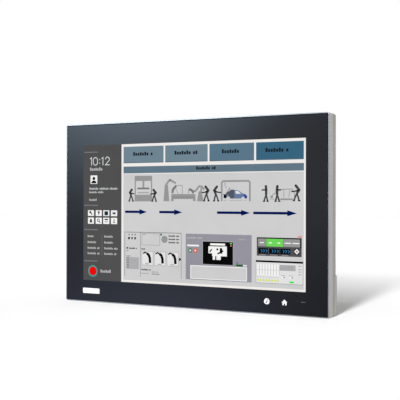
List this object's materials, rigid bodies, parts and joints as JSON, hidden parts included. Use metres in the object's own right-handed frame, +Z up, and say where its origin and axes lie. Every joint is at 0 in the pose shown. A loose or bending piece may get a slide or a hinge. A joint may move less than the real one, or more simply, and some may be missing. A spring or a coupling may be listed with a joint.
{
  "type": "hmi touch panel",
  "caption": "Widescreen industrial touch panel: flush black cover glass in a slim metal frame, finned rear housing and a removable cover over its connector bay.",
  "frame": {"origin": "middle of the panel's footprint, on the surface that its lower edge stands on", "axes": "+X to the right seen from the front, +Y from the display to the rear, +Z up"},
  "size_m": [0.5624, 0.055, 0.3543],
  "materials": {
    "frame_metal": "satin bead-blasted aluminium",
    "housing_metal": "die-cast aluminium, fine grey texture",
    "cover_glass": "black back-printed glass, gloss",
    "display_glass": "display glass, satin",
    "plated_steel": "zinc-plated steel",
    "film": "optical film",
    "clear_acrylic": "clear moulded acrylic",
    "foam": "closed-cell foam, matte",
    "rubber": "moulded rubber, matte",
    "circuit_board": "green solder mask",
    "dark_resin": "moulded resin",
    "heat_metal": "milled aluminium",
    "black_plastic": "fine-grained moulded plastic",
    "label": "blank white label film"
  },
  "bodies": {
    "case": {"front_frame": "frame_metal", "rear_housing": "housing_metal", "connector_bay": "housing_metal", "cover_glass": "cover_glass", "touch_sensor": "film", "glass_gasket": "foam", "touch_key_board": "circuit_board", "status_light_pipe": "clear_acrylic", "display_bezel": "plated_steel", "display_cell": "display_glass", "optical_films": "film", "light_guide": "clear_acrylic", "led_bar": "label", "display_tray": "plated_steel", "timing_board": "circuit_board", "touch_controller_board": "circuit_board", "display_bracket_left": "plated_steel", "display_bracket_right": "plated_steel", "housing_seal": "rubber", "mainboard": "circuit_board", "processor": "dark_resin", "heat_spreader": "heat_metal", "memory_socket": "black_plastic", "memory_module": "dark_resin", "coin_cell": "plated_steel", "power_board": "circuit_board", "io_board": "circuit_board", "power_inlet": "black_plastic", "lan_port_1": "plated_steel", "lan_port_2": "plated_steel", "usb_port_1": "plated_steel", "usb_port_2": "plated_steel", "display_port": "plated_steel", "serial_port": "plated_steel", "cable_grommet": "rubber", "power_button_collar": "plated_steel", "power_button_nut": "plated_steel", "pressure_vent": "black_plastic", "ground_screw": "plated_steel", "rating_plate": "label", "case_screw_1": "plated_steel", "case_screw_2": "plated_steel", "case_screw_3": "plated_steel", "case_screw_4": "plated_steel", "case_screw_5": "plated_steel", "case_screw_6": "plated_steel", "vesa_insert_1": "plated_steel", "vesa_insert_2": "plated_steel", "vesa_insert_3": "plated_steel", "vesa_insert_4": "plated_steel"},
    "connector_cover": {"connector_cover": "housing_metal"},
    "cover_stud_left": {"cover_stud_left": "plated_steel"},
    "cover_stud_right": {"cover_stud_right": "plated_steel"},
    "storage_door": {"storage_door": "housing_metal", "storage_tray": "plated_steel", "storage_drive": "dark_resin", "door_screw_lower": "plated_steel", "door_screw_upper": "plated_steel"},
    "power_button": {"power_button": "black_plastic"}
  },
  "joints": [
    {"name": "connector_cover_slide", "type": "slide", "parent": "case", "child": "connector_cover", "axis": [0, 1, 0], "range_m": [0, 0.06]},
    {"name": "cover_stud_turn_left", "type": "hinge", "parent": "connector_cover", "child": "cover_stud_left", "pos_m": [0.267, 0.0175, 0.04], "axis": [0, 1, 0], "range_deg": [0, 90]},
    {"name": "cover_stud_turn_right", "type": "hinge", "parent": "connector_cover", "child": "cover_stud_right", "pos_m": [-0.267, 0.0175, 0.04], "axis": [0, 1, 0], "range_deg": [0, 90]},
    {"name": "storage_door_slide", "type": "slide", "parent": "case", "child": "storage_door", "axis": [0, 1, 0], "range_m": [0, 0.06]},
    {"name": "power_button_press", "type": "slide", "parent": "case", "child": "power_button", "axis": [0, -1, 0], "range_m": [0, 0.0015], "stiffness_N_per_m": 600, "springref_m": -0.001}
  ]
}
